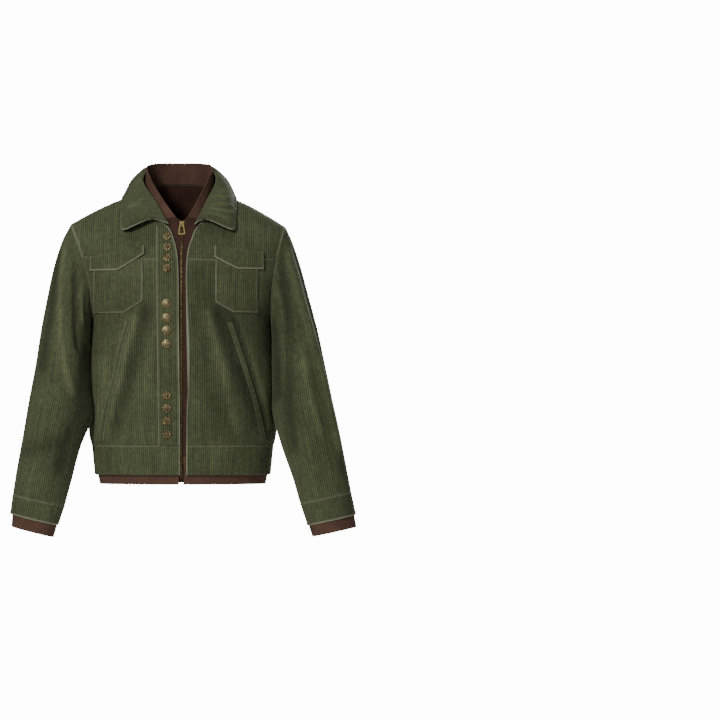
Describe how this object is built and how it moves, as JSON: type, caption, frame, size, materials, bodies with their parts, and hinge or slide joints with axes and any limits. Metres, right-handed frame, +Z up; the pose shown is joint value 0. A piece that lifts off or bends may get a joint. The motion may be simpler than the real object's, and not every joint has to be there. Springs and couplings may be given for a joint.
{
  "type": "corduroy jacket",
  "caption": "Short filled-out corduroy jacket with a fold-over collar, flap chest pockets, slanted side pockets, a studded button band, a hem band and a knit layer that shows at its edges.",
  "frame": {"origin": "between the shoulders, level with the tops of the shoulder seams at the neck's lower edge, on the line of the zip", "axes": "+Z up along the wearer's back, +X to the wearer's left, +Y to the wearer's back; the front faces -Y"},
  "size_m": [0.7112, 0.2536, 0.7728],
  "materials": {
    "green_corduroy": "wide-wale corduroy, matt with a soft nap",
    "green_corduroy_edges": "wide-wale corduroy, slightly worn at the edges",
    "brown_knit": "soft brushed knit, matt",
    "brass": "antiqued, satin"
  },
  "bodies": {
    "jacket": {"front_right": "green_corduroy", "front_yoke_right": "green_corduroy", "top_sleeve_right": "green_corduroy", "under_sleeve_right": "green_corduroy", "chest_pocket_right": "green_corduroy", "front_left": "green_corduroy", "front_yoke_left": "green_corduroy", "top_sleeve_left": "green_corduroy", "under_sleeve_left": "green_corduroy", "chest_pocket_left": "green_corduroy", "back": "green_corduroy", "back_yoke": "green_corduroy", "collar_stand": "green_corduroy", "cuff_right": "green_corduroy_edges", "pocket_flap_right": "green_corduroy_edges", "side_pocket_welt_right": "green_corduroy_edges", "cuff_left": "green_corduroy_edges", "pocket_flap_left": "green_corduroy_edges", "side_pocket_welt_left": "green_corduroy_edges", "hem_band": "green_corduroy_edges", "collar_leaf": "green_corduroy_edges", "button_band": "green_corduroy_edges", "cuff_rib_right": "brown_knit", "zip_facing_right": "brown_knit", "cuff_rib_left": "brown_knit", "zip_facing_left": "brown_knit", "hem_rib": "brown_knit", "inner_collar": "brown_knit", "stud_top_1": "brass", "stud_top_2": "brass", "stud_top_3": "brass", "stud_top_4": "brass", "stud_middle_1": "brass", "stud_middle_2": "brass", "stud_middle_3": "brass", "stud_middle_4": "brass", "stud_bottom_1": "brass", "stud_bottom_2": "brass", "stud_bottom_3": "brass", "stud_bottom_4": "brass", "zip_chain": "brass", "zip_slider": "brass"},
    "pull_tab": {"zip_pull_tab": "brass"}
  },
  "joints": [
    {"name": "pull_tab_swing", "type": "hinge", "parent": "jacket", "child": "pull_tab", "pos_m": [0, -0.08301, -0.04081], "axis": [-1, 0, 0], "range_deg": [0, 120]}
  ]
}
